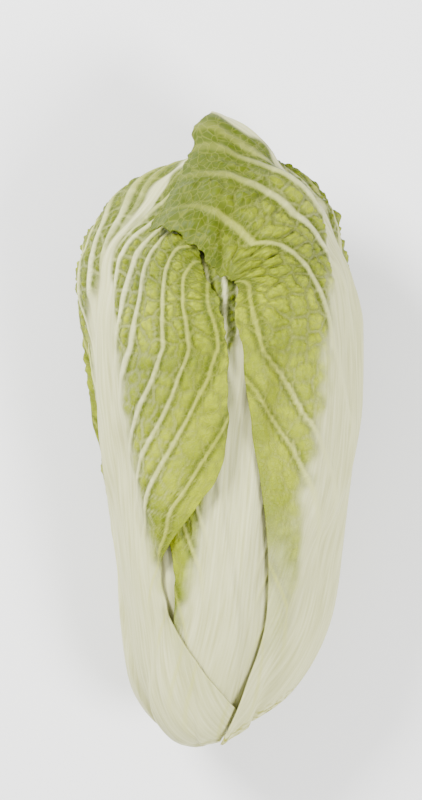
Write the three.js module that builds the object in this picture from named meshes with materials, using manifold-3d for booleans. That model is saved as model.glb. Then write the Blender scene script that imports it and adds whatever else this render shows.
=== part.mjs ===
// A head of napa cabbage, picked and trimmed, lying on its side.
// Millimetres, +Z up. +Y runs along the head from the cut base to the leaf tips, and +X is on the right
// when it is seen from above. The origin is under the middle of the head, on the surface it rests on.
//
// The head is built as it grows. An egg-shaped heart stands on the stem, and each leaf is laid over what
// grew before it: its inner face rests on the outer faces already there, and its own thickness is added.
import * as THREE from "three";
import { mergeVertices } from "three/addons/utils/BufferGeometryUtils.js";
import Module from "manifold-3d";

const wasm = await Module();
wasm.setup();

// The packed heart and the stem under it share one egg-shaped surface.
const heartHalfWidth = 47.5;
const heartMiddle = 200; // where it is widest, measured along the head
const heartTipLength = 71; // from there to its tip
const heartBaseLength = 190; // and to the bottom of the stem
const tipFullness = 2.02; // 2 would be an ellipse, more is fuller
const baseFullness = 2.08;
const stemTop = 46;

// How the grown head lies.
const thicknessShare = 0.86; // it is a little lower than it is wide
const tipBend = 9; // the tip leans to the right
const baseBend = -7; // and the base to the left
const tilt = 7; // degrees, the tip end is higher
const softness = 1.6; // how gently the underside flattens on the surface
const floorHeight = -53; // of the surface under the growing axis
const restHeight = 0.5; // of the lowest point, above floorHeight
const pressDepth = 2.4; // the leaf it rests on is flat where it comes this near
const balance = 150; // it tilts about this place along the growing axis
const centre = [-1.149, 6.39]; // of the lying head, before it is moved over the origin

// The knife went through stem and leaf bases at a slant.
const cutPoint = [5, 11, 18];
const cutFacing = [0.47, -0.84, -0.2];

const bladeThickness = 1.1;
const gap = 0.55; // between a leaf and what it lies on
const sharpestRadius = 32; // of the egg's curve, for how far a flat facet sags between its corners
const veinRows = 2; // one side vein for every two rows of a leaf's grid
const chartStep = 0.75; // degrees between two samples of the surface

const white = 0xe9ead2;
const green = 0xc3cf6a;
const paleGreen = 0xd5dc93;

// The leaves in the order they are laid, the innermost first. Angles are in degrees. Round the head, 0 faces
// up, 90 is on the right and 180 lies below, and path is where the midrib runs at the base, middle and top.
// start and tip say how far along it reaches, measured from the tip of the head: below 0 it folds over that
// tip. left and right give each half of the blade: how far round it reaches, at which share of the leaf's
// length it starts and is full, how wide the stalk is there and at its foot, by how many degrees its top
// corner is rounded and how far it stands off the head.
const leaves = [
  {
    name: "inner_leaf_top",
    path: [45, 52, 50],
    start: 148,
    tip: 4,
    left: { reach: 66, from: 0.3, full: 0.6 },
    right: { reach: 66, from: 0.3, full: 0.6 },
    rib: 22,
    ribHeight: 4.5,
    ruffle: 0.7,
    cells: [10, 16],
  },
  {
    name: "inner_leaf_under",
    path: [-165, -168, -170],
    start: 150,
    tip: 0,
    left: { reach: 70, from: 0.3, full: 0.6 },
    right: { reach: 70, from: 0.3, full: 0.6 },
    rib: 22,
    ribHeight: 4.5,
    ruffle: 0.7,
    cells: [10, 16],
  },
  {
    name: "inner_leaf_left",
    path: [-38, -36, -40],
    start: 152,
    tip: -4,
    left: { reach: 66, from: 0.28, full: 0.56 },
    right: { reach: 72, from: 0.28, full: 0.56, round: 20 },
    rib: 23,
    ribHeight: 5,
    ruffle: 1.8,
    cells: [10, 18],
  },
  {
    name: "side_leaf_right",
    path: [98, 104, 100],
    start: 155,
    tip: 24,
    left: { reach: 66, from: 0.28, full: 0.52 },
    right: { reach: 70, from: 0.28, full: 0.52, round: 20 },
    rib: 25,
    ribHeight: 6.5,
    ruffle: 0.9,
    cells: [12, 20],
  },
  {
    name: "side_leaf_left",
    path: [-122, -116, -112],
    start: 157,
    tip: 16,
    left: { reach: 70, from: 0.28, full: 0.52, round: 20 },
    right: { reach: 66, from: 0.28, full: 0.52 },
    rib: 25,
    ribHeight: 6,
    ruffle: 2,
    cells: [12, 20],
  },
  {
    name: "front_leaf",
    path: [-16, 12, 16],
    start: 165,
    tip: 24,
    left: { reach: 62, from: 0.34, full: 0.56 },
    right: { reach: 60, from: 0.34, full: 0.56 },
    rib: 27,
    ribHeight: 7,
    ruffle: 1.2,
    cells: [12, 22],
  },
  {
    name: "under_leaf",
    path: [174, 180, 182],
    start: 163,
    tip: 22,
    left: { reach: 78, from: 0.26, full: 0.48 },
    right: { reach: 78, from: 0.26, full: 0.48 },
    rib: 36,
    ribHeight: 6,
    ruffle: 1.6,
    restsOn: true,
    stiff: 24,
    cells: [16, 26],
  },
  {
    name: "left_leaf",
    path: [-66, -62, -76],
    start: 170,
    tip: 12,
    left: { reach: 64, stalk: 38, from: 0.4, full: 0.56, stand: 8, round: 14 },
    right: { reach: 64, foot: 112, stalk: 26, from: 0.25, full: 0.39, round: 14 },
    rib: 28,
    ribHeight: 6.5,
    ruffle: 1.2,
    cells: [16, 28],
  },
  {
    name: "right_leaf",
    path: [58, 75, 50],
    start: 169,
    tip: -9,
    left: { reach: 73, from: 0.06, full: 0.48, round: 10 },
    right: { reach: 34, from: 0.42, full: 0.62, round: 21, stand: 1 },
    rib: 28,
    ribHeight: 7,
    ruffle: 1.2,
    tipLift: 17,
    cells: [16, 30],
  },
];

const radians = (degrees) => (degrees * Math.PI) / 180;
const mix = (a, b, share) => a + (b - a) * share;

// 0 before from, 1 after to, and smooth between them.
function rise(from, to, value) {
  const t = Math.min(1, Math.max(0, (value - from) / (to - from)));
  return t * t * (3 - 2 * t);
}

// A number from 0 to 1 that looks random and is the same on every run.
function chance(seed) {
  const wide = Math.sin(seed * 12.9898 + 4.1414) * 43758.5453;
  return wide - Math.floor(wide);
}

// The point of the egg in a direction from its middle, and the way out of the surface there.
function eggAt(direction) {
  const length = direction.y > 0 ? heartTipLength : -heartBaseLength;
  const power = 2 / (direction.y > 0 ? tipFullness : baseFullness);
  const aside = Math.hypot(direction.x, direction.z);
  const flare = Math.max(aside, 1e-6) ** (power - 1);
  const rounded = Math.max(aside, 1e-6) ** (1 - power);
  const along = Math.abs(direction.y);
  const point = new THREE.Vector3(
    direction.x * flare * heartHalfWidth,
    heartMiddle + length * along ** power,
    direction.z * flare * heartHalfWidth,
  );
  const out = new THREE.Vector3(
    (direction.x * rounded) / heartHalfWidth,
    along ** (2 - power) / length,
    (direction.z * rounded) / heartHalfWidth,
  );
  return { point, out: out.normalize() };
}

// From the growing head to the head as it lies.
function lie(point) {
  const bend = tipBend * rise(240, 285, point.y) + baseBend * rise(75, 5, point.y);
  const x = point.x + bend;
  const z = point.z * thicknessShare;
  const angle = radians(tilt);
  const along = point.y - balance;
  const y = along * Math.cos(angle) - z * Math.sin(angle);
  const height = z * Math.cos(angle) + along * Math.sin(angle) - floorHeight;
  const soft = softness * Math.log1p(Math.exp(height / softness));
  return new THREE.Vector3(x - centre[0], y - centre[1], (height > 40 ? height : soft) - restHeight);
}

// The height of the lowest leaf's outer face, flat where it is pressed on the surface.
function pressed(height) {
  return Math.max(0, height - pressDepth * (1 - rise(pressDepth, 4 * pressDepth, height)));
}

// Where a leaf's midrib runs, in degrees round the head, at a share of its length.
function midribTurn(leaf, along) {
  const [base, middle, top] = leaf.path;
  const bow = 2 * middle - (base + top) / 2;
  return mix(mix(base, bow, along), mix(bow, top, along), along);
}

// How far half of a leaf reaches round the head, in degrees.
function halfReach(side, along) {
  const stalk = mix(side.foot ?? 50, side.stalk ?? 32, rise(0, 0.26, along));
  const blade = side.reach * (1 - 0.16 * rise(0.6, 1, along));
  return mix(stalk, blade, rise(side.from, side.full, along));
}

// A place on a leaf: u runs from -1 at its left margin to 1 at its right, and v from 0 at its base to 1 at
// its tip.
function placeOn(leaf, u, v) {
  const aside = Math.abs(u);
  const half = u < 0 ? leaf.left : leaf.right;
  const climbed = v + 0.35 * aside ** 1.4 * v * (1 - v); // rows of the grid climb like the side veins
  const end = leaf.tip + (half.round ?? 28) * aside ** 1.8;
  const fromTip = radians(mix(leaf.start, end, climbed));
  const turn = radians(midribTurn(leaf, v));
  const spread = radians(u * halfReach(half, v));
  const ahead = new THREE.Vector3(Math.sin(turn), 0, Math.cos(turn));
  const aslant = new THREE.Vector3(Math.cos(turn), 0, -Math.sin(turn));
  const up = new THREE.Vector3(0, 1, 0);
  // On the long side of the head a row follows a ring, and over its tip it runs straight across.
  const ring = new THREE.Vector3()
    .addScaledVector(ahead, Math.sin(fromTip) * Math.cos(spread))
    .addScaledVector(aslant, Math.sin(fromTip) * Math.sin(spread))
    .addScaledVector(up, Math.cos(fromTip));
  const across = spread * 0.85;
  const straight = new THREE.Vector3()
    .addScaledVector(ahead, Math.sin(fromTip) * Math.cos(across))
    .addScaledVector(up, Math.cos(fromTip) * Math.cos(across))
    .addScaledVector(aslant, Math.sin(across));
  const share = rise(radians(35), radians(95), fromTip);
  const direction = straight.multiplyScalar(1 - share).addScaledVector(ring, share).normalize();
  const width = spread * (heartHalfWidth + 8) * Math.sin(Math.max(fromTip, radians(40)));
  return { direction, width, fromTip };
}

// The midrib's half width and height at a share of the leaf's length.
const ribHalfWidth = (leaf, v) => mix(leaf.rib, 2.6, rise(0, 0.78, v));
const ribRise = (leaf, v) => mix(leaf.ribHeight, 1.1, rise(0.05, 0.85, v));

// Thickness of a leaf, out from its inner face: the blade, the midrib and every second row as a side vein.
function thicknessAt(leaf, { width, u, v, row }) {
  const half = ribHalfWidth(leaf, v);
  const share = Math.min(1, Math.abs(width) / half);
  const rib = ribRise(leaf, v) * (1 - share * share) ** 1.3 * (0.2 + 0.8 * rise(0, 0.2, v));
  const blade = rise(half, half + 9, Math.abs(width)) * rise(0.18, 0.34, v);
  const vein = row % veinRows === 0 ? 1.3 : 0;
  return bladeThickness + rib + vein * blade * (1 - 0.6 * Math.abs(u) ** 3);
}

// How far a leaf stands off what it lies on: its margins are loose and ruffled, and one tip curls up.
function liftAt(leaf, index, spot) {
  const { u, v, row, column } = spot;
  const margin = Math.abs(u) ** 4 * rise(0.15, 0.4, v);
  const top = rise(0.86, 1, v);
  const wave = 0.5 + 0.5 * Math.sin(row * 1.9 + index) + 0.6 * chance(row + 40 * index + (u < 0 ? 7 : 3));
  const frill = 0.5 + 0.5 * Math.sin(column * 2.2 + index) + 0.6 * chance(column + 70 * index);
  const loose = leaf.ruffle * (margin * wave + top * frill * (1 - margin));
  const half = u < 0 ? leaf.left : leaf.right;
  const onShoulder = rise(half.from, half.full + 0.1, v) * rise(radians(14), radians(40), spot.fromTip);
  const puffed = (half.stand ?? 0) * rise(0, 0.36, Math.abs(u)) * onShoulder;
  return loose + puffed + (leaf.tipLift ?? 0) * rise(0.8, 1, v) ** 1.5 * (1 - u * u) ** 14;
}

// The chart holds, for every direction of the egg, how high the leaves laid so far stand above it. The tip
// of the head is in its middle, and the distance from there is the angle from the tip.
const chartReach = Math.round(180 / chartStep);
const chartSize = 2 * chartReach + 1;
const chart = new Float32Array(chartSize * chartSize);
const chartEgg = [];
for (let row = 0; row < chartSize; row += 1) {
  for (let column = 0; column < chartSize; column += 1) {
    const x = (column - chartReach) * chartStep;
    const z = (row - chartReach) * chartStep;
    const fromTip = radians(Math.min(180, Math.hypot(x, z)));
    const turn = Math.atan2(x, z);
    const direction = new THREE.Vector3(
      Math.sin(fromTip) * Math.sin(turn),
      Math.cos(fromTip),
      Math.sin(fromTip) * Math.cos(turn),
    );
    chartEgg.push(eggAt(direction));
  }
}

// Where a direction lies on the chart, in columns and rows.
function onChart(direction) {
  const fromTip = Math.acos(THREE.MathUtils.clamp(direction.y, -1, 1)) / radians(chartStep);
  const turn = Math.atan2(direction.x, direction.z);
  return [chartReach + fromTip * Math.sin(turn), chartReach + fromTip * Math.cos(turn)];
}

// Calls visit(sample, height of the facet there, the three shares) for each sample of the chart in a facet.
function overFacet(facet, spots, heights, visit) {
  const [a, b, c] = facet.map((i) => spots[i].point.clone().addScaledVector(spots[i].out, heights[i]));
  const places = facet.map((i) => spots[i].at);
  const normal = new THREE.Vector3().crossVectors(b.clone().sub(a), c.clone().sub(a)).normalize();
  const level = a.dot(normal);
  const longest = Math.max(a.distanceTo(b), b.distanceTo(c), c.distanceTo(a));
  const sag = longest ** 2 / (8 * sharpestRadius);
  const [[ax, ay], [bx, by], [cx, cy]] = places;
  const area = (bx - ax) * (cy - ay) - (cx - ax) * (by - ay);
  if (Math.abs(area) < 1e-9) return;
  const lowX = Math.max(0, Math.floor(Math.min(ax, bx, cx)));
  const highX = Math.min(chartSize - 1, Math.ceil(Math.max(ax, bx, cx)));
  const lowY = Math.max(0, Math.floor(Math.min(ay, by, cy)));
  const highY = Math.min(chartSize - 1, Math.ceil(Math.max(ay, by, cy)));
  const edge = -0.06; // samples just outside a facet's edge count too
  for (let y = lowY; y <= highY; y += 1) {
    for (let x = lowX; x <= highX; x += 1) {
      const second = ((x - ax) * (cy - ay) - (cx - ax) * (y - ay)) / area;
      const third = ((bx - ax) * (y - ay) - (x - ax) * (by - ay)) / area;
      const first = 1 - second - third;
      if (first < edge || second < edge || third < edge) continue;
      const sample = y * chartSize + x;
      const { point, out } = chartEgg[sample];
      const shares = [first, second, third];
      const even = first * heights[facet[0]] + second * heights[facet[1]] + third * heights[facet[2]];
      const height = (level - point.dot(normal)) / out.dot(normal);
      visit(sample, THREE.MathUtils.clamp(height, even - sag, even + sag) || even, shares);
    }
  }
}

// The highest value round each sample, so that nothing is missed between two samples.
function widened(values) {
  const result = new Float32Array(values.length);
  for (let y = 1; y < chartSize - 1; y += 1) {
    for (let x = 1; x < chartSize - 1; x += 1) {
      let most = 0;
      for (let dy = -1; dy <= 1; dy += 1) {
        for (let dx = -1; dx <= 1; dx += 1) {
          most = Math.max(most, values[(y + dy) * chartSize + x + dx]);
        }
      }
      result[y * chartSize + x] = most;
    }
  }
  return result;
}

// The two triangles of each cell of a grid, the same way round everywhere.
function gridFacets(columns, rows) {
  const facets = [];
  for (let row = 0; row < rows; row += 1) {
    for (let column = 0; column < columns; column += 1) {
      const a = row * (columns + 1) + column;
      const b = a + 1;
      const c = a + columns + 1;
      const d = c + 1;
      if (column < columns / 2) facets.push([a, b, d], [a, d, c]);
      else facets.push([a, b, c], [b, d, c]);
    }
  }
  return facets;
}

// Raises the inner face of a leaf until every facet clears the leaves under it.
function settle(spots, facets, heights, below) {
  const easing = 14;
  for (let pass = 0; pass <= easing; pass += 1) {
    const raise = new Float64Array(heights.length);
    for (const facet of facets) {
      overFacet(facet, spots, heights, (sample, height, shares) => {
        const short = below[sample] + gap - height;
        if (short <= 0) return;
        const spread = shares.reduce((sum, s) => sum + s * s, 0);
        facet.forEach((i, n) => {
          const lift = pass < easing ? (short * Math.max(0, shares[n])) / spread : short;
          raise[i] = Math.max(raise[i], lift);
        });
      });
    }
    raise.forEach((lift, i) => (heights[i] += lift));
  }
}

// A leaf is stiff, so it bridges the hollows under it: no point stays lower than its neighbours' mean.
function stiffen(heights, columns, rows, passes) {
  const width = columns + 1;
  for (let pass = 0; pass < passes; pass += 1) {
    const before = heights.slice();
    for (let row = 0; row <= rows; row += 1) {
      for (let column = 0; column <= columns; column += 1) {
        const i = row * width + column;
        const near = [];
        if (row > 0 && row < rows) near.push(i - width, i + width);
        if (column > 0 && column < columns) near.push(i - 1, i + 1);
        if (near.length === 0) continue;
        const mean = near.reduce((sum, n) => sum + before[n], 0) / near.length;
        heights[i] = Math.max(heights[i], mean);
      }
    }
  }
}

// A closed solid from an outer and an inner face over the same grid.
function shellGeometry(outer, inner, facets, columns, rows) {
  const points = [...outer, ...inner];
  const shift = outer.length;
  const index = [];
  facets.forEach(([a, b, c]) => index.push(a, b, c, shift + a, shift + c, shift + b));
  const rim = [];
  for (let column = 0; column <= columns; column += 1) rim.push(column);
  for (let row = 1; row <= rows; row += 1) rim.push(row * (columns + 1) + columns);
  for (let column = columns - 1; column >= 0; column -= 1) rim.push(rows * (columns + 1) + column);
  for (let row = rows - 1; row > 0; row -= 1) rim.push(row * (columns + 1));
  rim.forEach((from, n) => {
    const to = rim[(n + 1) % rim.length];
    index.push(from, shift + from, to, to, shift + from, shift + to);
  });
  const geometry = new THREE.BufferGeometry().setFromPoints(points);
  geometry.setIndex(index);
  return geometry;
}

// A solid that manifold-3d can cut, facing out whichever way its faces were listed.
function solidFrom(geometry) {
  const bare = geometry.clone();
  bare.deleteAttribute("normal");
  bare.deleteAttribute("uv");
  const merged = mergeVertices(bare, 1e-4);
  const triVerts = new Uint32Array(merged.index.array);
  const vertProperties = merged.attributes.position.array;
  const made = new wasm.Manifold(new wasm.Mesh({ numProp: 3, vertProperties, triVerts }));
  if (made.volume() > 0) return made;
  for (let i = 0; i < triVerts.length; i += 3) {
    [triVerts[i + 1], triVerts[i + 2]] = [triVerts[i + 2], triVerts[i + 1]];
  }
  return new wasm.Manifold(new wasm.Mesh({ numProp: 3, vertProperties, triVerts }));
}

function meshFrom(solid, name, colour) {
  const { vertProperties, triVerts, numProp } = solid.getMesh();
  const positions = new Float32Array((vertProperties.length / numProp) * 3);
  for (let i = 0; i < positions.length / 3; i += 1) {
    positions.set(vertProperties.subarray(i * numProp, i * numProp + 3), i * 3);
  }
  const geometry = new THREE.BufferGeometry();
  geometry.setAttribute("position", new THREE.BufferAttribute(positions, 3));
  geometry.setIndex(new THREE.BufferAttribute(triVerts, 1));
  geometry.computeVertexNormals();
  const material = new THREE.MeshStandardMaterial({ color: colour, roughness: 0.5, metalness: 0 });
  const mesh = new THREE.Mesh(geometry, material);
  mesh.name = name;
  return mesh;
}

// A block that fills one side of a plane, to cut with.
function halfSpace(point, facing) {
  const side = 500;
  const block = new THREE.BoxGeometry(side, side, side).translate(0, side / 2, 0);
  const turn = new THREE.Quaternion().setFromUnitVectors(
    new THREE.Vector3(0, 1, 0),
    new THREE.Vector3(...facing).normalize(),
  );
  block.applyQuaternion(turn).translate(...point);
  return solidFrom(block);
}

const knife = (() => {
  const at = lie(new THREE.Vector3(...cutPoint));
  return halfSpace(at.toArray(), cutFacing);
})();

// The leaf as a solid: laid on the chart, thickened, trimmed by the knife.
function layLeaf(leaf, index) {
  const [columns, rows] = leaf.cells;
  const spots = [];
  for (let row = 0; row <= rows; row += 1) {
    for (let column = 0; column <= columns; column += 1) {
      const even = (2 * column) / columns - 1;
      const u = Math.sign(even) * Math.abs(even) ** 1.25; // closer together on the midrib
      const v = row / rows;
      const place = placeOn(leaf, u, v);
      spots.push({ u, v, row, column, ...place, ...eggAt(place.direction), at: onChart(place.direction) });
    }
  }
  const facets = gridFacets(columns, rows);
  const below = widened(chart);
  const heights = spots.map(({ at: [x, y] }) => below[Math.round(y) * chartSize + Math.round(x)] + gap);
  settle(spots, facets, heights, below);
  stiffen(heights, columns, rows, leaf.stiff ?? 3);
  const lifted = spots.map((spot, i) => heights[i] + liftAt(leaf, index, spot));
  const topped = spots.map((spot, i) => lifted[i] + thicknessAt(leaf, spot));
  facets.forEach((facet) => {
    overFacet(facet, spots, topped, (sample, height) => {
      chart[sample] = Math.max(chart[sample], height);
    });
  });
  const face = (distances) =>
    spots.map(({ point, out }, i) => lie(point.clone().addScaledVector(out, distances[i])));
  const outer = face(topped);
  if (leaf.restsOn) outer.forEach((p) => (p.z = pressed(p.z)));
  const solid = solidFrom(shellGeometry(outer, face(lifted), facets, columns, rows));
  return solid.subtract(knife);
}

// The egg itself, cut into the stem and the heart that stands on it.
function layHeart() {
  const columns = 28;
  const rows = 26;
  const egg = new THREE.SphereGeometry(1, columns, rows);
  const position = egg.attributes.position;
  for (let i = 0; i < position.count; i += 1) {
    const { point } = eggAt(new THREE.Vector3().fromBufferAttribute(position, i).normalize());
    position.setXYZ(i, ...lie(point).toArray());
  }
  const whole = solidFrom(egg);
  const split = lie(new THREE.Vector3(0, stemTop, 0)).y;
  const above = [0, 1, 0];
  return {
    stem: whole.subtract(halfSpace([0, split, 0], above)).subtract(knife),
    heart: whole.intersect(halfSpace([0, split + gap, 0], above)),
  };
}

const cabbage = new THREE.Group();
const { stem, heart } = layHeart();
cabbage.add(meshFrom(stem, "stem", white));
cabbage.add(meshFrom(heart, "heart", paleGreen));
leaves.forEach((leaf, index) => {
  cabbage.add(meshFrom(layLeaf(leaf, index), leaf.name, green));
});

export default cabbage;
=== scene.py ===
import math

import bmesh
import bpy
import numpy as np
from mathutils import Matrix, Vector


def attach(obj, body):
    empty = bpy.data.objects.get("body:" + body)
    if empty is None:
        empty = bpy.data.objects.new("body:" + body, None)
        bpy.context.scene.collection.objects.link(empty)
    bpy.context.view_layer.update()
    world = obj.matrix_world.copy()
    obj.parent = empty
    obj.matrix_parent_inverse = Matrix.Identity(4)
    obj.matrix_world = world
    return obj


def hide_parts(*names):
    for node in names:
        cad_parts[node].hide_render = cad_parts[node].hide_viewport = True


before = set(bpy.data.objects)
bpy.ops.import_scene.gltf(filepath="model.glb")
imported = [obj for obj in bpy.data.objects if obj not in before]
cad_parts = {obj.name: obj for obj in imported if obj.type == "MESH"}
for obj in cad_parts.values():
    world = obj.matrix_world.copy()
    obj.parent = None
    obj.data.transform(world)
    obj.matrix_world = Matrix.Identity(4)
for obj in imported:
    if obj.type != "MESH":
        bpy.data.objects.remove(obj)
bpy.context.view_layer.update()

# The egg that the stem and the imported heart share, and how the grown head lies.
head = {
    "halfWidth": 47.5,
    "middle": 200,  # where it is widest, along the growing axis
    "tipLength": 71,
    "baseLength": 190,
    "tipFullness": 2.02,  # 2 would be an ellipse, more is fuller
    "baseFullness": 2.08,
    "stemTop": 46,
    "thicknessShare": 0.86,  # a little lower than it is wide
    "tipBend": 9,  # the tip leans to the right
    "tipBendSpan": (240, 285),  # between these heights on the growing axis
    "baseBend": -7,  # and the base to the left
    "baseBendSpan": (75, 5),
    "tilt": 7,  # degrees, the tip end is higher
    "softness": 1.6,  # how gently the underside flattens
    "firmFrom": 40,  # nothing above this height is flattened
    "floorHeight": -53,  # of the floor under the growing axis
    "restHeight": 0.5,  # of the lowest point, before the press
    "pressDepth": 2.4,  # the leaf it rests on is flat where it comes this near to the floor
    "pressFade": 4,  # and keeps its shape above this many times that
    "balance": 150,  # it tilts about this place on the growing axis
    "centre": (-1.149, 6.39),  # of the lying head, before it is moved over the origin
    "splitGap": 0.55,  # between stem and heart
}
knife = {"point": (5, 11, 18), "facing": (0.47, -0.84, -0.2)}
blade = {
    "thickness": 1.1,
    "edgeThickness": 0.75,
    "gap": 1.0,
    "crowding": 1.08,  # how its points gather towards the midrib
}
mm = 0.001  # in metres
skinSlot, cutSlot = 0, 1  # of the two materials of every piece


def rise(start, end, value):  # 0 before start, 1 after end, smooth between
    t = np.clip((value - start) / (end - start), 0, 1)
    return t * t * (3 - 2 * t)


def mix(a, b, share):
    return a + (b - a) * share


shuffle = {"x": 127.1, "y": 311.7, "seed": 74.7, "spread": 43758.5453}
cellJitter = 0.8  # how far a cell's middle strays from the middle of its square


def drawn(x, y, seed):  # a number from 0 to 1 for each pair of whole numbers
    wide = np.sin(x * shuffle["x"] + y * shuffle["y"] + seed * shuffle["seed"]) * shuffle["spread"]
    return wide - np.floor(wide)


def bumps(x, y, seed):  # smooth bumps between -1 and 1, one unit apart
    x0, y0 = np.floor(x), np.floor(y)
    fx, fy = x - x0, y - y0
    fx = fx ** 3 * (fx * (fx * 6 - 15) + 10)
    fy = fy ** 3 * (fy * (fy * 6 - 15) + 10)
    low = mix(drawn(x0, y0, seed), drawn(x0 + 1, y0, seed), fx)
    high = mix(drawn(x0, y0 + 1, seed), drawn(x0 + 1, y0 + 1, seed), fx)
    return 2 * mix(low, high, fy) - 1


def cells(x, y, seed):
    # How far each point is from the border of its cell, and a drawn number for that cell.
    x0, y0 = np.floor(x), np.floor(y)
    near = np.full(x.shape, 9.0)  # further than any middle is
    nearX, nearY, nearDraw = np.zeros(x.shape), np.zeros(x.shape), np.zeros(x.shape)
    nextNear, nextX, nextY = near + 1, nearX.copy(), nearY.copy()
    for dx in (-1, 0, 1):
        for dy in (-1, 0, 1):
            cx, cy = x0 + dx, y0 + dy
            mx = cx + 0.5 + cellJitter * (drawn(cx, cy, seed) - 0.5)
            my = cy + 0.5 + cellJitter * (drawn(cx, cy, seed + 5) - 0.5)
            d = np.hypot(x - mx, y - my)
            closer = d < near
            second = ~closer & (d < nextNear)
            nextNear = np.where(closer, near, np.where(second, d, nextNear))
            nextX = np.where(closer, nearX, np.where(second, mx, nextX))
            nextY = np.where(closer, nearY, np.where(second, my, nextY))
            near = np.where(closer, d, near)
            nearX, nearY = np.where(closer, mx, nearX), np.where(closer, my, nearY)
            nearDraw = np.where(closer, drawn(cx, cy, seed + 9), nearDraw)
    between = np.maximum(np.hypot(nextX - nearX, nextY - nearY), 0.05)  # never nothing
    return (nextNear ** 2 - near ** 2) / (2 * between), nearDraw


def egg(direction):  # the egg's point in a direction, and the way out of its surface there
    x, y, z = direction[..., 0], direction[..., 1], direction[..., 2]
    length = np.where(y > 0, head["tipLength"], -head["baseLength"])
    power = 2 / np.where(y > 0, head["tipFullness"], head["baseFullness"])
    aside = np.maximum(np.hypot(x, z), 1e-6)
    wide = head["halfWidth"] * aside ** (power - 1)
    narrow = aside ** (1 - power) / head["halfWidth"]
    along = np.maximum(np.abs(y), 1e-9)
    point = np.stack([x * wide, head["middle"] + length * along ** power, z * wide], -1)
    out = np.stack([x * narrow, along ** (2 - power) / length, z * narrow], -1)
    return point, out / np.linalg.norm(out, axis=-1, keepdims=True)


def lie(point):  # from the growing head to the head as it lies
    x = point[..., 0] + head["tipBend"] * rise(*head["tipBendSpan"], point[..., 1])
    x = x + head["baseBend"] * rise(*head["baseBendSpan"], point[..., 1])
    z = point[..., 2] * head["thicknessShare"]
    angle = math.radians(head["tilt"])
    along = point[..., 1] - head["balance"]
    y = along * math.cos(angle) - z * math.sin(angle)
    height = z * math.cos(angle) + along * math.sin(angle) - head["floorHeight"]
    firm = head["firmFrom"]
    soft = head["softness"] * np.log1p(np.exp(np.minimum(height, firm) / head["softness"]))
    height = np.where(height > firm, height, soft) - head["restHeight"]
    return np.stack([x - head["centre"][0], y - head["centre"][1], height], -1)


def pressed(height):  # flat on the floor
    depth = head["pressDepth"]
    return np.maximum(0, height - depth * (1 - rise(depth, head["pressFade"] * depth, height)))


# The chart: for every direction of the egg, how high the leaves laid so far stand above it.
# The tip of the head is in its middle, and the distance from there is the angle from the tip in degrees.
chartReach = 180
chart = np.zeros((2 * chartReach + 1, 2 * chartReach + 1))


def onChart(direction):
    fromTip = np.degrees(np.arccos(np.clip(direction[..., 1], -1, 1)))
    turn = np.arctan2(direction[..., 0], direction[..., 2])
    return chartReach + fromTip * np.sin(turn), chartReach + fromTip * np.cos(turn)


def readChart(values, place):
    x, y = (np.clip(p, 0, 2 * chartReach - 0.001) for p in place)
    x0, y0 = x.astype(int), y.astype(int)
    fx, fy = x - x0, y - y0
    low = mix(values[y0, x0], values[y0, x0 + 1], fx)
    return mix(low, mix(values[y0 + 1, x0], values[y0 + 1, x0 + 1], fx), fy)


def filtered(values, reach, how):  # the most, least or mean of the square round each sample
    for axis in (0, 1):
        wide = np.pad(values, [(reach, reach) if a == axis else (0, 0) for a in (0, 1)], "edge")
        parts = [np.take(wide, range(i, i + values.shape[axis]), axis) for i in range(2 * reach + 1)]
        values = how(parts, axis=0)
    return values


cover = {"clearance": 4, "smoothing": 2}  # in degrees


def coverOf(values, bridge):  # a smooth cover over everything laid so far, which bridges hollows
    closed = filtered(filtered(values, bridge, np.max), bridge, np.min)
    top = filtered(np.maximum(values, closed), cover["clearance"], np.max)
    return filtered(filtered(top, cover["smoothing"], np.mean), cover["smoothing"], np.mean)


def layOnChart(place, heights):
    global chart
    fresh = np.zeros(chart.shape)
    x, y = (np.clip(np.rint(p).astype(int), 0, 2 * chartReach) for p in place)
    np.maximum.at(fresh, (y.ravel(), x.ravel()), heights.ravel())
    chart = np.maximum(chart, filtered(fresh, 1, np.max))


# What a leaf and each of its halves are like where the leaf's own values don't say.
plainLeaf = {
    "bridge": 9,  # degrees of the hollows that it spans
    "restsOn": False,
    "tipLift": 0,  # how far its tip curls up
    "veinSpacing": 22,
    "veinWidth": 1.9,
    "edgeGreen": 0.7,  # how dark its tip and margins are
}
plainHalf = {
    "foot": 50,  # degrees that the stalk reaches round the head at its foot
    "stalk": 32,  # and above that
    "round": 28,  # degrees by which the top corner is rounded
    "stand": 0,  # how far its shoulder stands off the head
    "belly": 0,  # how far the side of its stalk does
    "pale": 0.92,  # the share of the midrib that is white
    "wing": 0,  # and how much beside it, on a broad one
}

# How a leaf spreads over the head.
growth = {
    "topNarrowing": 0.16,
    "climb": 0.35,  # its rows climb towards the margins, as the side veins do
    "climbCurve": 1.4,
    "cornerCurve": 1.8,
    "topNotch": 1.7,  # degrees
    "sideNotch": 1.5,
    "topNotches": ((0.6, 13, 1), (0.4, 31, 1)),  # share and number of the coarse and the fine ones
    "sideNotches": ((0.6, 34, 1), (0.4, 83, 1)),
    "notchedFrom": 0.7,  # across
    "flatAcross": 0.85,
    "overTip": (35, 95),  # rows run straight across before the first angle, and are rings after the other
    "outside": 8,  # how far off the egg its width is measured
    "widthFrom": 40,  # degrees from the tip
}

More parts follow.
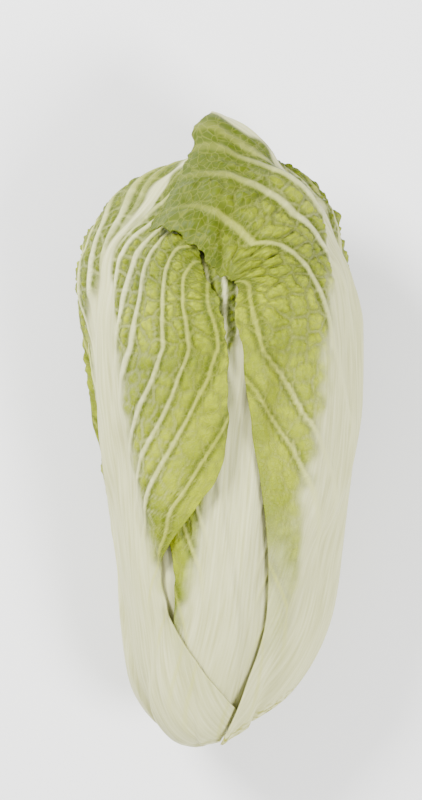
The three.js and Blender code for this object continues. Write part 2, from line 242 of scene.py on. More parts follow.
# Where along a leaf a thing starts and is full, as shares of the leaf's length.
spans = {
    "footNarrows": (0, 0.26), "topNarrows": (0.6, 1), "topNotched": (0.8, 1), "sideNotched": (0.2, 0.4),
    "rowsStraighten": (0.5, 0.85), "veinsSteepen": (0.35, 1), "ribNarrows": (0, 0.78),
    "ribFlattens": (0.05, 0.85), "ribRises": (0, 0.2), "ridgesRise": (0, 0.1), "paleNarrows": (0.5, 0.8),
    "fadeSharpens": (0.35, 0.75), "wingStarts": (0.19, 0.31), "wingEnds": (0.78, 0.5),
    "greenStarts": (0.12, 0.3), "marginThins": (0.2, 0.35), "tipThins": (0.97, 1), "crinkles": (0.25, 0.6),
    "tipSmooths": (0.92, 1), "puffs": (0.3, 0.8), "veinsRise": (0.1, 0.25), "marginLoosens": (0.15, 0.4),
    "topLoosens": (0.86, 1), "swells": (0.3, 0.6), "crumples": (0.3, 0.8), "tipCurls": (0.8, 1),
    "stalkStarts": (0.03, 0.15), "stalkEnds": (0.5, 0.35), "tipDarkens": (0.6, 1.02),
    "marginDarkens": (0.45, 0.8), "veinsFade": (0.75, 1), "veinsYellow": (0.7, 0.97),
}


def grown(stage, v):
    return rise(*spans[stage], v)


def waves(layers, x, y, seed):  # bumps in layers of a height and two numbers of bumps
    return sum(high * bumps(x * nx, y * ny, seed + n) for n, (high, nx, ny) in enumerate(layers))


def grain(layers, x, y, seed):  # bumps in layers of a height and two sizes in millimetres
    return sum(high * bumps(x / sx, y / sy, seed + n) for n, (high, sx, sy) in enumerate(layers))


def ofHalf(leaf, u, key):  # a value of the left half where u is negative, else of the right half
    return np.where(u < 0, leaf["left"][key], leaf["right"][key])


def halfReach(leaf, u, v):  # in degrees round the head
    stalk = mix(ofHalf(leaf, u, "foot"), ofHalf(leaf, u, "stalk"), grown("footNarrows", v))
    wide = ofHalf(leaf, u, "reach") * (1 - growth["topNarrowing"] * grown("topNarrows", v))
    return mix(stalk, wide, rise(ofHalf(leaf, u, "from"), ofHalf(leaf, u, "full"), v))


def distanceAlong(fromTip):  # millimetres from the tip of the head, along its long side
    angles = np.radians(np.linspace(0, 180, 361))
    side = np.stack([np.sin(angles), np.cos(angles), np.zeros_like(angles)], -1)
    steps = np.linalg.norm(np.diff(egg(side)[0], axis=0), axis=-1)
    return np.sign(fromTip) * np.interp(np.abs(fromTip), angles, np.concatenate([[0], np.cumsum(steps)]))


def placeOn(leaf, u, v, seed):
    # u runs from -1 at the left margin to 1 at the right, and v from 0 at the base to 1 at the tip.
    aside = np.abs(u)
    climbed = v + growth["climb"] * aside ** growth["climbCurve"] * v * (1 - v)
    end = leaf["tip"] + ofHalf(leaf, u, "round") * aside ** growth["cornerCurve"]
    # The margin is notched and wavy, at the sides and over the top.
    notch = waves(growth["sideNotches"], v, u * 0 + seed, 3)
    comb = waves(growth["topNotches"], u, v * 0 + seed, 5)
    end = end + growth["topNotch"] * comb * grown("topNotched", v)
    fromTip = np.radians(mix(leaf["start"], end, climbed))
    base, middle, top = leaf["path"]
    bow = 2 * middle - (base + top) / 2
    turn = np.radians(mix(mix(base, bow, v), mix(bow, top, v), v))
    notch = growth["sideNotch"] * notch * rise(growth["notchedFrom"], 1, aside) * grown("sideNotched", v)
    spread = np.radians(u * halfReach(leaf, u, v) + np.sign(u) * notch)
    zero = np.zeros_like(turn)
    ahead = np.stack([np.sin(turn), zero, np.cos(turn)], -1)
    aslant = np.stack([np.cos(turn), zero, -np.sin(turn)], -1)
    up = np.stack([zero, zero + 1, zero], -1)

    def pointing(a, b, c):
        return a[..., None] * ahead + b[..., None] * aslant + c[..., None] * up

    ring = pointing(np.sin(fromTip) * np.cos(spread), np.sin(fromTip) * np.sin(spread), np.cos(fromTip))
    across = spread * growth["flatAcross"]
    flat = pointing(np.sin(fromTip) * np.cos(across), np.sin(across), np.cos(fromTip) * np.cos(across))
    share = rise(*np.radians(growth["overTip"]), fromTip)[..., None]
    direction = flat * (1 - share) + ring * share
    direction /= np.linalg.norm(direction, axis=-1, keepdims=True)
    girth = np.sin(np.maximum(fromTip, math.radians(growth["widthFrom"])))
    width = spread * (head["halfWidth"] + growth["outside"]) * girth
    straight = np.radians(mix(leaf["start"], leaf["tip"], climbed))
    far = mix(distanceAlong(fromTip), distanceAlong(straight), grown("rowsStraighten", v))
    return direction, width, fromTip, distanceAlong(math.radians(leaf["start"])) - far


def meshFrom(name, points, faces, values, materials):
    mesh = bpy.data.meshes.new(name)
    mesh.from_pydata((points * mm).tolist(), [], faces)
    for key, value in values.items():
        kind = "FLOAT_VECTOR" if value.ndim == 2 else "FLOAT"
        field = "vector" if value.ndim == 2 else "value"
        mesh.attributes.new(key, kind, "POINT").data.foreach_set(field, value.astype(np.float32).ravel())
    mesh.shade_smooth()
    for material in materials:
        mesh.materials.append(material)
    obj = bpy.data.objects.new(name, mesh)
    bpy.context.scene.collection.objects.link(obj)
    return obj


def faceOut(obj):  # turns every face over if the mesh is inside out
    shape = bmesh.new()
    shape.from_mesh(obj.data)
    if shape.calc_volume(signed=True) < 0:
        bmesh.ops.reverse_faces(shape, faces=shape.faces)
    shape.to_mesh(obj.data)
    shape.free()


def trim(obj, point, facing, slot):  # takes off what is beyond a plane and closes the cut
    shape = bmesh.new()
    shape.from_mesh(obj.data)
    parts = list(shape.verts) + list(shape.edges) + list(shape.faces)
    made = bmesh.ops.bisect_plane(
        shape, geom=parts, dist=1e-6, plane_co=point, plane_no=facing, clear_outer=True
    )
    rim = [e for e in made["geom_cut"] if isinstance(e, bmesh.types.BMEdge) and e.is_boundary]
    if rim:
        for face in bmesh.ops.edgeloop_fill(shape, edges=rim)["faces"]:
            face.material_index = slot
            face.smooth = False
    shape.to_mesh(obj.data)
    shape.free()


knifePoint = Vector(lie(np.array(knife["point"], float)) * mm)
knifeFacing = Vector(knife["facing"]).normalized()


# Materials
def tone(red, green, blue):  # from the eye's scale to Blender's
    return [c / 12.92 if c <= 0.04045 else ((c + 0.055) / 1.055) ** 2.4 for c in (red, green, blue)] + [1]


def nodesFor(name):
    material = bpy.data.materials.new(name)
    material.use_nodes = True
    nodes, links = material.node_tree.nodes, material.node_tree.links
    return material, nodes, links, nodes["Principled BSDF"]


def attribute(nodes, name):
    node = nodes.new("ShaderNodeAttribute")
    node.attribute_name = name
    return node


def joined(links, sockets, values):  # links each value to its socket, or sets it there
    for socket, value in zip(sockets, values):
        if isinstance(value, bpy.types.NodeSocket):
            links.new(value, socket)
        else:
            socket.default_value = value


def blended(nodes, links, share, first, second):
    node = nodes.new("ShaderNodeMix")
    node.data_type = "RGBA"
    joined(links, [node.inputs[i] for i in (0, 6, 7)], (share, first, second))
    return node.outputs[2]


def reckoned(nodes, links, how, *values):
    node = nodes.new("ShaderNodeMath")
    node.operation = how
    joined(links, node.inputs, values)
    return node.outputs[0]


def ramped(nodes, links, value, low, high):
    node = nodes.new("ShaderNodeMapRange")
    node.inputs["From Min"].default_value = low
    node.inputs["From Max"].default_value = high
    links.new(value, node.inputs["Value"])
    return node.outputs["Result"]


def noise(nodes, links, where, scale, detail, low, high):
    node = nodes.new("ShaderNodeTexNoise")
    node.inputs["Scale"].default_value = scale
    node.inputs["Detail"].default_value = detail
    links.new(where, node.inputs["Vector"])
    return ramped(nodes, links, node.outputs["Fac"], low, high)


# Scales are in numbers a millimetre, and ranges are the parts of a noise that show.
leafFinish = {
    "rib": tone(0.76, 0.76, 0.57),
    "ribShade": tone(0.66, 0.66, 0.45),
    "vein": tone(0.67, 0.68, 0.28),
    "light": tone(0.56, 0.60, 0.03),
    "deep": tone(0.39, 0.44, 0),
    "edge": tone(0.25, 0.30, 0),
    # painted shade: the dark green that the blade's hollows and creases are darkened towards
    "creaseShade": tone(0.21, 0.26, 0),
    "dry": tone(0.50, 0.50, 0.10),
    "patchScale": 0.045,  # of the deep green
    "patchDetail": 4,
    "patchRange": (0.35, 0.68),
    # how strongly the painted shade darkens the hollows
    "creaseShadeShare": 0.9,
    "threadScale": 0.5,  # of the finest veins
    "threadWidth": 0.09,
    "threadShare": 0.15,
    "streakScale": (0.9, 0.035, 1),  # of the fine streaks along the rib
    "streakDetail": 3,
    "streakRange": (0.35, 0.7),
    "streakHeight": 0.35,
    "spotScale": 0.5,  # of the dry spots along the cut
    "spotDetail": 3,
    "spotRange": (0.45, 0.62),
    "bumpStrength": 0.5,
    "bumpHeight": 0.3 * mm,
    "roughness": 0.5,
    "specular": 0.14,
    "underSkin": 0.08,
    "underSkinReach": (2 * mm, 2.5 * mm, 0.8 * mm),
}


def leafMaterial(name, look):
    material, nodes, links, shader = nodesFor(name)
    place = attribute(nodes, "place").outputs["Vector"]
    names = ("green", "vein", "edge", "creaseShade", "whiteness", "dry")
    green, vein, edge, creaseShade, whiteness, dry = (attribute(nodes, n).outputs["Fac"] for n in names)

    patches = noise(nodes, links, place, look["patchScale"], look["patchDetail"], *look["patchRange"])
    bladeColour = blended(nodes, links, patches, look["light"], look["deep"])
    # Painted shade: the blade darkens towards a dark green in its hollows, beside the veins and between the
    # pillows.
    shaded = reckoned(nodes, links, "MULTIPLY", creaseShade, look["creaseShadeShare"])
    bladeColour = blended(nodes, links, shaded, bladeColour, look["creaseShade"])
    bladeColour = blended(nodes, links, edge, bladeColour, look["edge"])

    finest = nodes.new("ShaderNodeTexVoronoi")
    finest.feature = "DISTANCE_TO_EDGE"
    finest.inputs["Scale"].default_value = look["threadScale"]
    links.new(place, finest.inputs["Vector"])
    thread = ramped(nodes, links, finest.outputs["Distance"], look["threadWidth"], 0)
    faint = reckoned(nodes, links, "MULTIPLY", thread, look["threadShare"])
    bladeColour = blended(nodes, links, faint, bladeColour, look["vein"])

    stretched = nodes.new("ShaderNodeMapping")
    stretched.inputs["Scale"].default_value = look["streakScale"]
    links.new(place, stretched.inputs["Vector"])
    long = stretched.outputs["Vector"]
    streak = noise(nodes, links, long, 1, look["streakDetail"], *look["streakRange"])
    ribColour = blended(nodes, links, streak, look["rib"], look["ribShade"])

    colour = blended(nodes, links, green, ribColour, bladeColour)
    veinColour = blended(nodes, links, whiteness, look["vein"], look["rib"])
    colour = blended(nodes, links, vein, colour, veinColour)
    spots = noise(nodes, links, place, look["spotScale"], look["spotDetail"], *look["spotRange"])
    spots = reckoned(nodes, links, "MULTIPLY", spots, dry)
    links.new(blended(nodes, links, spots, colour, look["dry"]), shader.inputs["Base Color"])

    fine = nodes.new("ShaderNodeBump")
    fine.inputs["Strength"].default_value = look["bumpStrength"]
    fine.inputs["Distance"].default_value = look["bumpHeight"]
    streaked = reckoned(nodes, links, "MULTIPLY", streak, look["streakHeight"])
    raised = reckoned(nodes, links, "MULTIPLY_ADD", thread, green, streaked)
    links.new(raised, fine.inputs["Height"])
    links.new(fine.outputs["Normal"], shader.inputs["Normal"])
    shader.inputs["Roughness"].default_value = look["roughness"]
    shader.inputs["Specular IOR Level"].default_value = look["specular"]
    shader.inputs["Subsurface Weight"].default_value = look["underSkin"]
    shader.inputs["Subsurface Radius"].default_value = look["underSkinReach"]
    shader.inputs["Subsurface Scale"].default_value = 1
    return material


leafSkin = leafMaterial("leaf skin", leafFinish)

cutFinish = {
    "flesh": tone(0.72, 0.71, 0.52),
    "dry": tone(0.55, 0.56, 0.20),
    "spotScale": 260,  # in numbers a metre
    "spotDetail": 5,
    "spotRange": (0.45, 0.75),
    "roughness": 0.5,
    "underSkin": 0.2,
    "underSkinReach": (4 * mm, 4 * mm, 2 * mm),
}


def cutMaterial(name, look):  # the freshly cut flesh of stem and ribs
    material, nodes, links, shader = nodesFor(name)
    where = nodes.new("ShaderNodeTexCoord").outputs["Object"]
    spots = noise(nodes, links, where, look["spotScale"], look["spotDetail"], *look["spotRange"])
    links.new(blended(nodes, links, spots, look["flesh"], look["dry"]), shader.inputs["Base Color"])
    shader.inputs["Roughness"].default_value = look["roughness"]
    shader.inputs["Subsurface Weight"].default_value = look["underSkin"]
    shader.inputs["Subsurface Radius"].default_value = look["underSkinReach"]
    return material


cutFlesh = cutMaterial("cut flesh", cutFinish)
print("materials made")


# The stem and the heart
egglike = {
    "crumpleNumber": 9,  # of bumps from the axis to the side
    "crumpleDepth": 0.6,
    "crumpleSpan": (120, 40),  # degrees from the tip
    "greenSpan": (110, 40),
    "ringLength": 2.4,  # millimetres along to a degree
    "seed": 41,
}


def layEgg(name, look, low, high):
    columns, rows = look["cells"]
    turn = np.linspace(0, 2 * math.pi, columns, endpoint=False)
    fromTip = np.linspace(0, math.pi, rows + 1)[1:-1]
    fromTip, turn = np.meshgrid(fromTip, turn, indexing="ij")
    aside = np.sin(fromTip)
    direction = np.stack([aside * np.sin(turn), np.cos(fromTip), aside * np.cos(turn)], -1)
    point, out = egg(direction)
    number, depth = egglike["crumpleNumber"], egglike["crumpleDepth"]
    crumple = bumps(direction[..., 0] * number, direction[..., 2] * number, egglike["seed"])
    crumple = crumple * rise(*egglike["crumpleSpan"], np.degrees(fromTip))
    point = point + out * (depth * crumple[..., None] - depth) * look["crumple"]
    ends = egg(np.array([[0, 1.0, 1e-4], [0, -1.0, 1e-4]]))[0]
    points = lie(np.concatenate([point.reshape(-1, 3), ends]))
    tip, base = len(points) - 2, len(points) - 1
    faces = []
    for row in range(rows - 2):
        for column in range(columns):
            a, b = row * columns + column, row * columns + (column + 1) % columns
            faces.append((a, b, b + columns, a + columns))
    last = (rows - 2) * columns
    for column in range(columns):
        after = (column + 1) % columns
        faces += [(tip, after, column), (base, last + column, last + after)]
    degrees = np.concatenate([np.degrees(fromTip).ravel(), [0, 180]])
    around = np.concatenate([np.degrees(turn).ravel(), [0, 0]])
    values = {key: 0 * degrees for key in ("vein", "edge", "creaseShade", "whiteness", "dry")}
    values["place"] = np.stack([around, egglike["ringLength"] * degrees, 0 * degrees], -1)
    values["green"] = look["green"] * rise(*egglike["greenSpan"], degrees)
    obj = meshFrom(name, points, faces, values, [leafSkin, cutFlesh])
    faceOut(obj)
    if low is not None:
        trim(obj, Vector((0, low * mm, 0)), Vector((0, -1, 0)), skinSlot)
    if high is not None:
        trim(obj, Vector((0, high * mm, 0)), Vector((0, 1, 0)), skinSlot)
        trim(obj, knifePoint, knifeFacing, cutSlot)
    return obj


split = lie(np.array([0, head["stemTop"], 0], float))[1]
stem = {"cells": (96, 120), "crumple": 0.1, "green": 0}
stemPiece = layEgg("stemBody", stem, None, split)
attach(stemPiece, "root")
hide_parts("stem")
heart = {"cells": (120, 120), "crumple": 0.8, "green": 0.7}
heartPiece = layEgg("heartBody", heart, split + head["splitGap"], None)
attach(heartPiece, "root")
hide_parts("heart")
print("stem and heart laid")


# Leaves
# Side veins run beside the midrib first, then turn away from it. In millimetres.
veins = {
    "steepness": 1.1,  # how much steeper they are at the top
    "start": 0.5,  # the share of the midrib where they leave it
    "fan": (0.7, 9),  # how far they climb for the way out, evenly and near the midrib
    "bend": 0.3,
    "wander": ((3.2, 34, 26), (1.3, 12, 11)),
    "rightShift": 9,
    "jitter": 0.5,
    "height": 2.1,
    "endWidth": 0.8,
    "narrowing": 0.7,
    "endHeight": 0.3,
    "lowering": 0.8,
    "rootSpan": (0, 7),  # past the midrib
    "rootShare": 0.45,
    "underWhite": 0.35,
}

# Between them lie large cells, and small ones in those.
net = {
    "size": 8,
    "smallSize": 0.4,
    "smallLength": 0.42,
    "smallBreadth": 0.38,
    "warp": ((1.7, 8, 8),),
    "height": 0.5,
    "width": (1.3, 0.1),
}


def veinsOf(leaf, width, along, u, v, half, seed):
    # How far each point is from a side vein and from the two nets between them, and drawn numbers per cell.
    off = np.maximum(np.abs(width) - veins["start"] * half, 0)
    steep = 1 + veins["steepness"] * grown("veinsSteepen", v)
    even, near = veins["fan"]
    root = np.sqrt(off + veins["bend"])
    slope = steep * (even + near / 2 / root)
    origin = along - steep * (even * off + near * root) + grain(veins["wander"], along, width, seed)
    origin = origin + np.where(u < 0, 0, veins["rightShift"])
    spacing = leaf["veinSpacing"]
    number = np.rint(origin / spacing)
    nearest = np.full(u.shape, 99.0)  # further than any vein is
    for step in (-1, 0, 1):
        k = number + step
        at = spacing * (k + veins["jitter"] * (drawn(k, np.sign(u), seed + 2) - 0.5))
        nearest = np.minimum(nearest, np.abs(origin - at))
    fromVein = nearest / np.hypot(1, slope)
    warp = grain(net["warp"], along, width, seed + 3)
    size = net["size"]
    border, draw = cells((along + warp) / size, (width - warp) / size, seed + 4)
    smallAlong = (along - warp) / (net["smallLength"] * size)
    smallAcross = (width + warp) / (net["smallBreadth"] * size)
    small, smallDraw = cells(smallAlong, smallAcross, seed + 6)
    return fromVein, border * size, draw, small * net["smallSize"] * size, smallDraw


# The midrib, in millimetres.
midrib = {
    "endWidth": 2.6,
    "endHeight": 1.1,
    "roundness": 1.3,
    "footShare": 0.2,  # of its height
    "ridgeHeight": 0.3,
    "ridgeWidth": 3.4,
    "ridgeLength": 120,
    "ridgeBend": (0.4, 40, 20),
    "whiteEnd": 0.7,  # the share of it that is white at the top
    "beside": (8, 1.2),  # how far the white goes past it, low and high on the leaf
    "fade": (11, 2),  # over what width it turns green there
    "uneven": ((2, 7, 5),),
    "startUneven": ((0.02, 9, 6),),
}

# How the blade is puffed up between the veins, in millimetres.
pillows = {
    "height": 1.7,
    "heights": (0.7, 1.3),  # shares of it, low and high on the leaf
    "ground": 0.4,
    "rise": 0.9,
    "slope": (0, 3.1),
    "draws": (0.6, 1.3),  # between the flattest and the fullest cell
    "veinShare": 0.6,
    "veinReach": 3.6,
    "smallHeight": 0.85,
    "smallSlope": (0, 1.5),
    "smallDraws": (0.4, 1.2),
    "smallVeinShare": 0.5,
    "smallVeinReach": 1.2,
    "flatMargin": 0.85,
    "flatFrom": 0.8,  # across
    "thinFrom": 0.93,
}

# How a leaf stands off what it lies on, in millimetres.
stance = {
    "wave": ((0.9, 15, 3), (0.5, 38, 5)),
    "frill": ((0.9, 5, 0), (0.5, 13, 0)),
    "loose": 0.8,
    "marginCurve": 4,
    "swell": ((1.1, 24, 17),),
    "swollen": 0.5,
    "crumple": ((1.2, 12, 9), (0.6, 6, 5)),
    "shoulderDelay": 0.1,
    "shoulderSpan": (0, 0.36),  # across
    "shoulderTop": (14, 40),  # degrees from the tip
    "curlRise": 1.5,
    "curlWidth": 14,
    "stalk": 0.5,
    "bellySpan": (0.1, 0.6),  # across
}

# How strong a pale line, or the painted shade of a hollow, is on a smooth and on a crinkled blade, and how
# near it starts and is full.
tint = {
    "rung": ((0.42, 0.22), (1.0, 0.1)),
    "smallRung": ((0.2, 0.1), (0.8, 0.1)),
    "veinHollowShade": ((0.7, 1), (2.4, 0.4)),
    "hollowShade": ((0.4, 0.9), (1.6, 0.3)),
    "smallHollowShade": ((0.15, 0.4), (0.8, 0.2)),
}

# The other shares that the colours are mixed by, mostly across the leaf.
shade = {
    "veinCore": (0.45, 0.95),
    "veinSide": 0.8,
    "rungOutside": 0.4,
    "margin": 0.9,
    "marginSpan": (0.7, 1),
    "edgeDraws": (0.6, 1.2),
    "veinTop": 0.3,
    "veinOnDark": 0.6,
    "whiteSpan": (0.95, 0.15),
    "whiteTop": 0.1,
    "drySpan": (-6 * mm, -1 * mm),  # from the knife's plane
    "seedStep": 37.0,  # so that no two leaves have the same pattern
}


def tinted(name, crinkled, distance):
    (smooth, rough), reach = tint[name]
    return mix(smooth, rough, crinkled) * rise(*reach, distance)


def quads(index, turned):  # the faces of a grid of points
    corners = [index[:-1, :-1], index[:-1, 1:], index[1:, 1:], index[1:, :-1]]
    if turned:
        corners.reverse()
    return np.stack([c.ravel() for c in corners], -1).tolist()


def loop(index):  # the points round a grid
    return np.concatenate([index[0, :-1], index[:-1, -1], index[-1, :0:-1], index[:0:-1, 0]])


def onBoth(value):  # the outer face is twice as fine as the inner one
    return np.concatenate([value.ravel(), value[::2, ::2].ravel()])


def layLeaf(leaf, seed):
    leaf = {**plainLeaf, **leaf}
    leaf["left"], leaf["right"] = {**plainHalf, **leaf["left"]}, {**plainHalf, **leaf["right"]}
    columns, rows = leaf["cells"]
    even = np.linspace(-1, 1, columns + 1)
    even = np.sign(even) * np.abs(even) ** blade["crowding"]
    u, v = np.meshgrid(even, np.linspace(0, 1, rows + 1))
    direction, width, fromTip, along = placeOn(leaf, u, v, seed)
    point, out = egg(direction)
    place = onChart(direction)
    half = mix(leaf["rib"], midrib["endWidth"], grown("ribNarrows", v))
    outward = np.abs(u)
    aside = np.abs(width)
    fromVein, border, draw, small, smallDraw = veinsOf(leaf, width, along, u, v, half, seed)

    # Where the blade is green.
    high = grown("fadeSharpens", v)
    whiteEnd = half * mix(ofHalf(leaf, u, "pale"), midrib["whiteEnd"], grown("paleNarrows", v))
    whiteEnd = whiteEnd + mix(*midrib["beside"], high)
    whiteEnd = whiteEnd + ofHalf(leaf, u, "wing") * grown("wingStarts", v) * grown("wingEnds", v)
    uneven = aside + grain(midrib["uneven"], along, width, seed + 11)
    green = rise(whiteEnd - mix(*midrib["fade"], high), whiteEnd, uneven)
    green = green * grown("greenStarts", v + grain(midrib["startUneven"], along, width, seed + 12))
    rim = rise(pillows["thinFrom"], 1, outward) * grown("marginThins", v)
    rim = np.maximum(rim, grown("tipThins", v))

    # The midrib with its fine ridges, and the side veins, which grow thinner outwards.
    share = np.minimum(1, aside / half)
    rib = mix(leaf["ribHeight"], midrib["endHeight"], grown("ribFlattens", v))
    rib = rib * (1 - share ** 2) ** midrib["roundness"] * mix(midrib["footShare"], 1, grown("ribRises", v))
    bend = grain((midrib["ridgeBend"],), along, width, seed)
    ridge = bumps(width / midrib["ridgeWidth"] + bend, along / midrib["ridgeLength"], seed + 13)
    ridge = midrib["ridgeHeight"] * ridge * (1 - green) * grown("ridgesRise", v)
    sideWidth = mix(leaf["veinWidth"], veins["endWidth"], outward ** veins["narrowing"])
    side = np.exp(-(fromVein / sideWidth) ** 2)
    taper = mix(1, veins["endHeight"], outward ** veins["lowering"])
    taper = taper * rise(*veins["rootSpan"], aside - veins["rootShare"] * half)

    # Between the veins the blade is puffed into pillows, large and small.
    pillow = pillows["rise"] * rise(*pillows["slope"], border) * mix(*pillows["draws"], draw)
    pillow = pillows["ground"] + pillow
    pillow = pillow * rise(pillows["veinShare"] * sideWidth, sideWidth + pillows["veinReach"], fromVein)
    dimple = rise(*pillows["smallSlope"], small) * mix(*pillows["smallDraws"], smallDraw)
    near = pillows["smallVeinShare"] * sideWidth
    dimple = dimple * rise(near, sideWidth + pillows["smallVeinReach"], fromVein)
    crinkled = grown("crinkles", v)
    free = np.maximum(rise(pillows["flatFrom"], 1, outward), grown("tipSmooths", v))
    free = 1 - pillows["flatMargin"] * free
    puff = pillows["height"] * mix(*pillows["heights"], grown("puffs", v)) * pillow
    netting = net["height"] * (1 - crinkled) * rise(*net["width"], border)
    thickness = mix(blade["thickness"], blade["edgeThickness"], rim) + rib + ridge
    thickness = thickness + green * free * (puff + pillows["smallHeight"] * dimple + netting)
    raised = veins["height"] * free * taper * side * mix(veins["underWhite"], 1, green)
    thickness = thickness + raised * grown("veinsRise", v)

    # How far it stands off what it lies on.
    margin = outward ** stance["marginCurve"] * grown("marginLoosens", v)
    wave = stance["loose"] + waves(stance["wave"], v, np.sign(u), seed + 14)
    frill = stance["loose"] + waves(stance["frill"], u, v, seed + 16)
    loose = leaf["ruffle"] * (margin * wave + grown("topLoosens", v) * frill * (1 - margin))
    swell = (grain(stance["swell"], along, width, seed + 18) + stance["swollen"]) * grown("swells", v)
    crumple = grain(stance["crumple"], along, width, seed + 19) * grown("crumples", v)
    full = rise(ofHalf(leaf, u, "from"), ofHalf(leaf, u, "full") + stance["shoulderDelay"], v)
    puffed = ofHalf(leaf, u, "stand") * rise(*stance["shoulderSpan"], outward) * full
    puffed = puffed * rise(*np.radians(stance["shoulderTop"]), fromTip)
    curl = leaf["tipLift"] * grown("tipCurls", v) ** stance["curlRise"] * (1 - u * u) ** stance["curlWidth"]
    belly = ofHalf(leaf, u, "belly") * rise(*stance["bellySpan"], outward)
    stalk = grown("stalkStarts", v) * grown("stalkEnds", v) * (stance["stalk"] + belly)
    lift = np.maximum(0, loose + green * (swell + crumple)) + puffed + curl + stalk

    inner = readChart(coverOf(chart, leaf["bridge"]), place) + blade["gap"] + lift
    outer = inner + thickness
    layOnChart(place, outer)

    outerPoints = lie(point + out * outer[..., None])
    if leaf["restsOn"]:
        outerPoints[..., 2] = pressed(outerPoints[..., 2])
    innerPoints = lie(point + out * inner[..., None])[::2, ::2]
    points = np.concatenate([outerPoints.reshape(-1, 3), innerPoints.reshape(-1, 3)])

    # A rim of five-cornered faces joins the two faces.
    fineIndex = np.arange((rows + 1) * (columns + 1)).reshape(rows + 1, columns + 1)
    coarseIndex = fineIndex.size + np.arange(innerPoints.shape[0] * innerPoints.shape[1])
    coarseIndex = coarseIndex.reshape(innerPoints.shape[:2])
    faces = quads(fineIndex, False) + quads(coarseIndex, True)
    outerRim, innerRim = loop(fineIndex), loop(coarseIndex)
    for n in range(len(innerRim)):
        o = [int(outerRim[(2 * n + i) % len(outerRim)]) for i in range(3)]
        i0, i1 = int(innerRim[n]), int(innerRim[(n + 1) % len(innerRim)])
        faces.append((o[2], o[1], o[0], i0, i1))

    # What the material is mixed by.
    beyond = (points * mm - np.array(knifePoint)) @ np.array(knifeFacing)
    rungs = tinted("rung", crinkled, border) + tinted("smallRung", crinkled, small)
    veinShare = taper * rise(*shade["veinCore"], side)
    veinShare = np.clip(veinShare + green * rungs * mix(1, shade["rungOutside"], outward), 0, 1)
    tipGreen = shade["margin"] * rise(*shade["marginSpan"], outward) * grown("marginDarkens", v)
    tipGreen = np.maximum(grown("tipDarkens", v), tipGreen)
    edge = green * tipGreen * leaf["edgeGreen"] * mix(*shade["edgeDraws"], draw)
    # Painted shade, darkest in the hollows beside the side veins and between the large and small pillows.
    hollowShade = tinted("veinHollowShade", crinkled, fromVein - shade["veinSide"] * sideWidth)
    hollowShade = hollowShade + tinted("hollowShade", crinkled, border) + tinted("smallHollowShade", crinkled, small)
    vein = veinShare * mix(1, shade["veinTop"], grown("veinsFade", v))
    vein = vein * mix(1, shade["veinOnDark"], tipGreen)
    white = rise(*shade["whiteSpan"], outward) * mix(1, shade["whiteTop"], grown("veinsYellow", v))
    values = {
        "place": np.stack([onBoth(width), onBoth(along), onBoth(0 * v + shade["seedStep"] * seed)], -1),
        "green": onBoth(green),
        "vein": onBoth(vein),
        "edge": onBoth(np.clip(edge, 0, 1)),
        "creaseShade": onBoth(np.clip(hollowShade, 0, 1) * (1 - veinShare)),
        "whiteness": onBoth(white),
        "dry": rise(*shade["drySpan"], beyond),
    }
    obj = meshFrom(leaf["name"], points, faces, values, [leafSkin, cutFlesh])
    faceOut(obj)
    if beyond.max() > 0:
        trim(obj, knifePoint, knifeFacing, cutSlot)
    print(leaf["name"], "laid,", len(obj.data.polygons), "faces")
    return obj


innerLeafTop = {
    "name": "innerLeafTop", "path": (45, 52, 50), "start": 148, "tip": 4,
    "left": {"reach": 66, "from": 0.3, "full": 0.6}, "right": {"reach": 66, "from": 0.3, "full": 0.6},
    "rib": 22, "ribHeight": 4.5, "ruffle": 0.7, "cells": (90, 160),
}
piece = layLeaf(innerLeafTop, 0)
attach(piece, "root")
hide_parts("inner_leaf_top")

innerLeafUnder = {
    "name": "innerLeafUnder", "path": (-165, -168, -170), "start": 150, "tip": 0,
    "left": {"reach": 70, "from": 0.3, "full": 0.6}, "right": {"reach": 70, "from": 0.3, "full": 0.6},
    "rib": 22, "ribHeight": 4.5, "ruffle": 0.7, "cells": (90, 160),
}
piece = layLeaf(innerLeafUnder, 1)
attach(piece, "root")
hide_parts("inner_leaf_under")

innerLeafLeft = {
    "name": "innerLeafLeft", "path": (-38, -36, -40), "start": 152, "tip": -4,
    "left": {"reach": 66, "from": 0.28, "full": 0.56},
    "right": {"reach": 72, "from": 0.28, "full": 0.56, "round": 20},
    "rib": 23, "ribHeight": 5, "ruffle": 1.8, "cells": (110, 200),
}
piece = layLeaf(innerLeafLeft, 2)
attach(piece, "root")
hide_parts("inner_leaf_left")

sideLeafRight = {
    "name": "sideLeafRight", "path": (98, 104, 100), "start": 155, "tip": 24,
    "left": {"reach": 66, "from": 0.28, "full": 0.52},
    "right": {"reach": 70, "from": 0.28, "full": 0.52, "round": 20},
    "rib": 25, "ribHeight": 6.5, "ruffle": 0.9, "cells": (140, 260),
}
piece = layLeaf(sideLeafRight, 3)
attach(piece, "root")
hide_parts("side_leaf_right")

sideLeafLeft = {
    "name": "sideLeafLeft", "path": (-122, -116, -112), "start": 157, "tip": 16,
    "left": {"reach": 70, "from": 0.28, "full": 0.52, "round": 20},
    "right": {"reach": 66, "from": 0.28, "full": 0.52},
    "rib": 25, "ribHeight": 6, "ruffle": 2, "cells": (140, 260),
}
piece = layLeaf(sideLeafLeft, 4)
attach(piece, "root")
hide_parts("side_leaf_left")

frontLeaf = {
    "name": "frontLeaf", "path": (-16, 12, 16), "start": 174, "tip": 24,
    "left": {"reach": 62, "from": 0.34, "full": 0.56}, "right": {"reach": 60, "from": 0.34, "full": 0.56},
    "rib": 27, "ribHeight": 7, "ruffle": 1.2, "cells": (140, 280),
}
piece = layLeaf(frontLeaf, 5)
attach(piece, "root")
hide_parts("front_leaf")

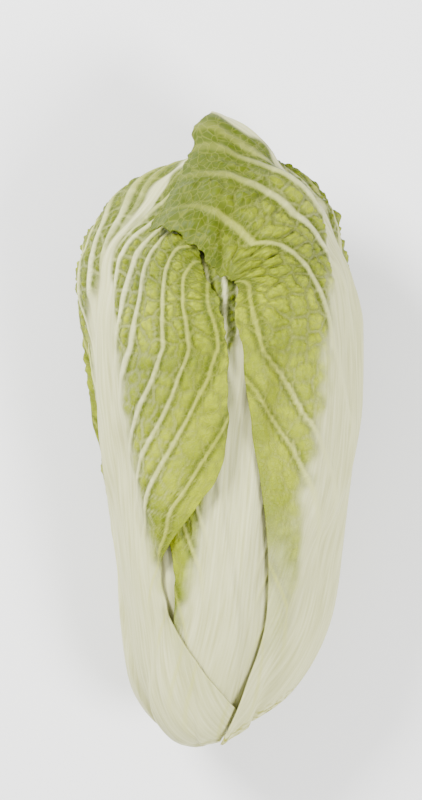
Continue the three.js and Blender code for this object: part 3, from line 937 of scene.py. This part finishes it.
underLeaf = {
    "name": "underLeaf", "path": (174, 180, 182), "start": 163, "tip": 22,
    "left": {"reach": 78, "from": 0.26, "full": 0.48}, "right": {"reach": 78, "from": 0.26, "full": 0.48},
    "rib": 36, "ribHeight": 6, "ruffle": 1.6, "restsOn": True, "bridge": 18, "cells": (160, 300),
}
piece = layLeaf(underLeaf, 6)
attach(piece, "root")
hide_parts("under_leaf")

leftLeaf = {
    "name": "leftLeaf", "path": (-66, -62, -76), "start": 170, "tip": 12,
    "left": {
        "reach": 64, "stalk": 38, "from": 0.4, "full": 0.56,
        "stand": 7, "round": 20, "belly": 2.5, "pale": 1.5,
    },
    "right": {"reach": 64, "foot": 112, "stalk": 26, "from": 0.25, "full": 0.39, "round": 14},
    "rib": 28, "ribHeight": 6.5, "ruffle": 1.2, "cells": (200, 380),
}
piece = layLeaf(leftLeaf, 7)
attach(piece, "root")
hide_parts("left_leaf")

rightLeaf = {
    "name": "rightLeaf", "path": (58, 75, 50), "start": 169, "tip": -9,
    "left": {"reach": 73, "from": 0.06, "full": 0.48, "round": 10, "pale": 0.72, "wing": 16},
    "right": {"reach": 34, "from": 0.42, "full": 0.62, "round": 21, "stand": 1},
    "rib": 28, "ribHeight": 7, "ruffle": 1.2, "tipLift": 17, "edgeGreen": 1.3,
    "veinSpacing": 34, "veinWidth": 2.5, "cells": (200, 380),
}
piece = layLeaf(rightLeaf, 8)
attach(piece, "root")
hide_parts("right_leaf")
print("leaves laid")


# Floor, light and camera
studio = {
    "floorSize": 6,
    "floorColour": tone(0.93, 0.93, 0.93),
    "floorRoughness": 0.8,
    "lamps": {"left lamp": ((-0.85, 0.75, 1.0), 58), "right lamp": ((0.8, -0.5, 1.15), 34)},
    "lampSize": 0.5,
    "skyColour": (1, 1, 1, 1),
    "skyStrength": 1.05,
    "cameraPlace": (-0.0042, 0.0137),  # over the middle of the picture
    "cameraDistance": 1.44,
    "pictureHeight": 0.3752,  # how much of the head's length the picture's height holds
    "headHeight": 0.06,  # where that is measured
    "sensor": 24,
}
bpy.ops.mesh.primitive_plane_add(size=studio["floorSize"], location=(0, 0, 0))
floor = bpy.context.object
floor.name = "floor"
floorSkin, _, _, floorShader = nodesFor("pale floor")
floorShader.inputs["Base Color"].default_value = studio["floorColour"]
floorShader.inputs["Roughness"].default_value = studio["floorRoughness"]
floor.data.materials.append(floorSkin)

for name, (spot, power) in studio["lamps"].items():
    lamp = bpy.data.lights.new(name, "AREA")
    lamp.size = studio["lampSize"]
    lamp.energy = power
    lampObject = bpy.data.objects.new(name, lamp)
    lampObject.location = spot
    lampObject.rotation_euler = (-Vector(spot)).to_track_quat("-Z", "Y").to_euler()
    bpy.context.scene.collection.objects.link(lampObject)

world = bpy.data.worlds.new("pale room")
bpy.context.scene.world = world
world.use_nodes = True
sky = world.node_tree.nodes["Background"]
sky.inputs["Color"].default_value = studio["skyColour"]
sky.inputs["Strength"].default_value = studio["skyStrength"]

camera = bpy.data.cameras.new("camera")
camera.sensor_fit = "VERTICAL"
camera.sensor_height = studio["sensor"]
camera.lens = studio["sensor"] * studio["cameraDistance"] / studio["pictureHeight"]
cameraObject = bpy.data.objects.new("camera", camera)
cameraObject.location = (*studio["cameraPlace"], studio["headHeight"] + studio["cameraDistance"])
bpy.context.scene.collection.objects.link(cameraObject)
bpy.context.scene.camera = cameraObject
print("floor, light and camera set")
